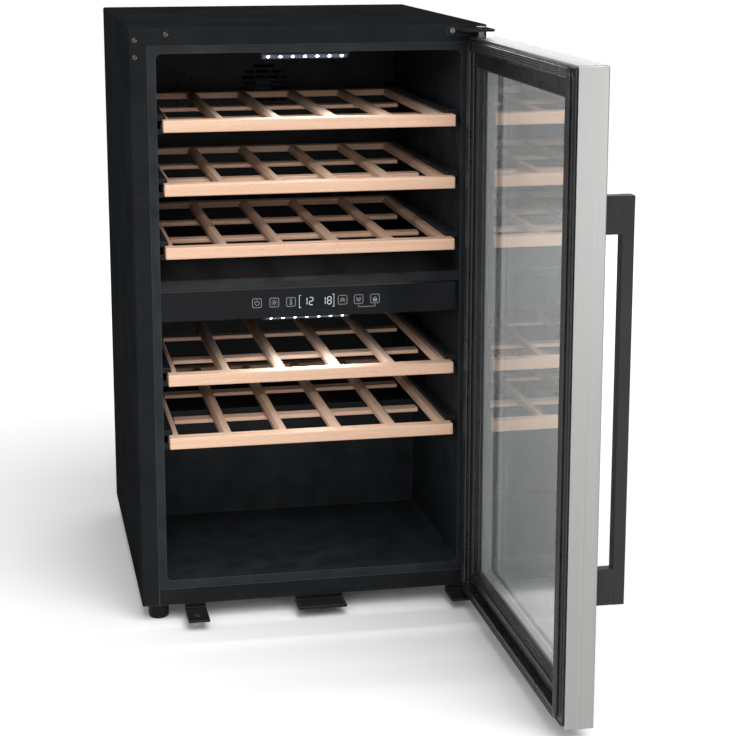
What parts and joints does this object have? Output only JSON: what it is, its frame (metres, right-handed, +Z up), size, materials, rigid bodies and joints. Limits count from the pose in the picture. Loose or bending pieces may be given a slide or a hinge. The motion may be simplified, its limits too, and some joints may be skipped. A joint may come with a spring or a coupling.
{
  "type": "wine cooler",
  "caption": "Free-standing dual-zone wine cooler with a hinged glass door in a stainless frame, a bar handle, sliding beech shelves and a rear machine bay.",
  "frame": {"origin": "on the floor, under the middle of the cabinet's width and depth", "axes": "+Z up, -Y out of the front where the door is hung, +X towards the hinge side, which is on the right from the front"},
  "size_m": [0.5471, 1.0534, 0.842],
  "materials": {
    "cabinet_black": "satin",
    "galvanised": "satin",
    "foam": "matte",
    "liner_black": "matte",
    "panel_black": "gloss",
    "display_lens": "gloss",
    "circuit_board": "matte",
    "light_diffuser": "satin",
    "fin_aluminium": "satin",
    "fan_black": "matte",
    "filter_grey": "matte",
    "sensor_plastic": "matte",
    "compressor_black": "gloss",
    "mount_rubber": "matte",
    "copper": "satin",
    "zinc": "satin",
    "plug_grey": "satin",
    "foot_black": "matte",
    "beech": "satin",
    "stainless": "satin",
    "door_plastic": "satin",
    "pane": "polished",
    "spacer_metal": "satin",
    "gasket_rubber": "matte",
    "handle_black": "satin",
    "bush_nylon": "satin"
  },
  "bodies": {
    "cabinet": {"outer_shell": "cabinet_black", "bottom_front_rail": "cabinet_black", "rear_grille": "cabinet_black", "top_hinge_bracket": "cabinet_black", "bottom_hinge_bracket": "cabinet_black", "left_tab_plate": "cabinet_black", "centre_plate": "cabinet_black", "back_panel": "galvanised", "base_pan": "galvanised", "foam_insulation": "foam", "inner_liner": "liner_black", "zone_divider": "liner_black", "upper_duct_cover": "liner_black", "lower_duct_cover": "liner_black", "light_bars": "liner_black", "control_panel": "panel_black", "display_window": "display_lens", "control_board": "circuit_board", "light_diffusers": "light_diffuser", "evaporators": "fin_aluminium", "fan_frames": "fan_black", "charcoal_filter": "filter_grey", "temperature_sensors": "sensor_plastic", "relay_box": "sensor_plastic", "drip_tray": "sensor_plastic", "compressor": "compressor_black", "condenser_coil": "compressor_black", "compressor_mounts": "mount_rubber", "cord_inlet": "mount_rubber", "filter_drier": "copper", "refrigerant_lines": "copper", "hinge_pins": "zinc", "hinge_screws": "zinc", "hole_plugs": "plug_grey"},
    "door": {"door_outer_frame": "stainless", "door_inner_frame": "door_plastic", "outer_glass": "pane", "inner_glass": "pane", "glass_spacer": "spacer_metal", "door_gasket": "gasket_rubber", "handle_bar": "handle_black", "handle_posts": "handle_black", "door_bushes": "bush_nylon"},
    "shelf_1": {"shelf_1_front_bar": "beech", "shelf_1_rack": "beech"},
    "shelf_2": {"shelf_2_front_bar": "beech", "shelf_2_rack": "beech"},
    "shelf_3": {"shelf_3_front_bar": "beech", "shelf_3_rack": "beech"},
    "shelf_4": {"shelf_4_front_bar": "beech", "shelf_4_rack": "beech"},
    "shelf_5": {"shelf_5_front_bar": "beech", "shelf_5_rack": "beech"},
    "upper_fan": {"upper_fan_rotor": "fan_black"},
    "lower_fan": {"lower_fan_rotor": "fan_black"},
    "condenser_fan": {"condenser_fan_rotor": "fan_black"},
    "front_left_leveller": {"front_left_foot": "foot_black"},
    "front_right_leveller": {"front_right_foot": "foot_black"},
    "rear_left_leveller": {"rear_left_foot": "foot_black"},
    "rear_right_leveller": {"rear_right_foot": "foot_black"}
  },
  "joints": [
    {"name": "door_hinge", "type": "hinge", "parent": "cabinet", "child": "door", "pos_m": [0.2334, -0.29, 0.425], "axis": [0, 0, 1], "range_deg": [-90, 5]},
    {"name": "shelf_1_slide", "type": "slide", "parent": "cabinet", "child": "shelf_1", "axis": [0, -1, 0], "range_m": [0, 0.2]},
    {"name": "shelf_2_slide", "type": "slide", "parent": "cabinet", "child": "shelf_2", "axis": [0, -1, 0], "range_m": [0, 0.2]},
    {"name": "shelf_3_slide", "type": "slide", "parent": "cabinet", "child": "shelf_3", "axis": [0, -1, 0], "range_m": [0, 0.2]},
    {"name": "shelf_4_slide", "type": "slide", "parent": "cabinet", "child": "shelf_4", "axis": [0, -1, 0], "range_m": [0, 0.2]},
    {"name": "shelf_5_slide", "type": "slide", "parent": "cabinet", "child": "shelf_5", "axis": [0, -1, 0], "range_m": [0, 0.2]},
    {"name": "upper_fan_spin", "type": "hinge", "parent": "cabinet", "child": "upper_fan", "pos_m": [0, 0.188, 0.715], "axis": [0, 1, 0], "continuous": true},
    {"name": "lower_fan_spin", "type": "hinge", "parent": "cabinet", "child": "lower_fan", "pos_m": [0, 0.188, 0.383], "axis": [0, 1, 0], "continuous": true},
    {"name": "condenser_fan_spin", "type": "hinge", "parent": "cabinet", "child": "condenser_fan", "pos_m": [-0.062, 0.17, 0.097], "axis": [1, 0, 0], "continuous": true},
    {"name": "front_left_foot_turn", "type": "hinge", "parent": "cabinet", "child": "front_left_leveller", "pos_m": [-0.223, -0.243, 0], "axis": [0, 0, 1], "continuous": true},
    {"name": "front_right_foot_turn", "type": "hinge", "parent": "cabinet", "child": "front_right_leveller", "pos_m": [0.223, -0.243, 0], "axis": [0, 0, 1], "continuous": true},
    {"name": "rear_left_foot_turn", "type": "hinge", "parent": "cabinet", "child": "rear_left_leveller", "pos_m": [-0.223, 0.238, 0], "axis": [0, 0, 1], "continuous": true},
    {"name": "rear_right_foot_turn", "type": "hinge", "parent": "cabinet", "child": "rear_right_leveller", "pos_m": [0.223, 0.238, 0], "axis": [0, 0, 1], "continuous": true}
  ]
}
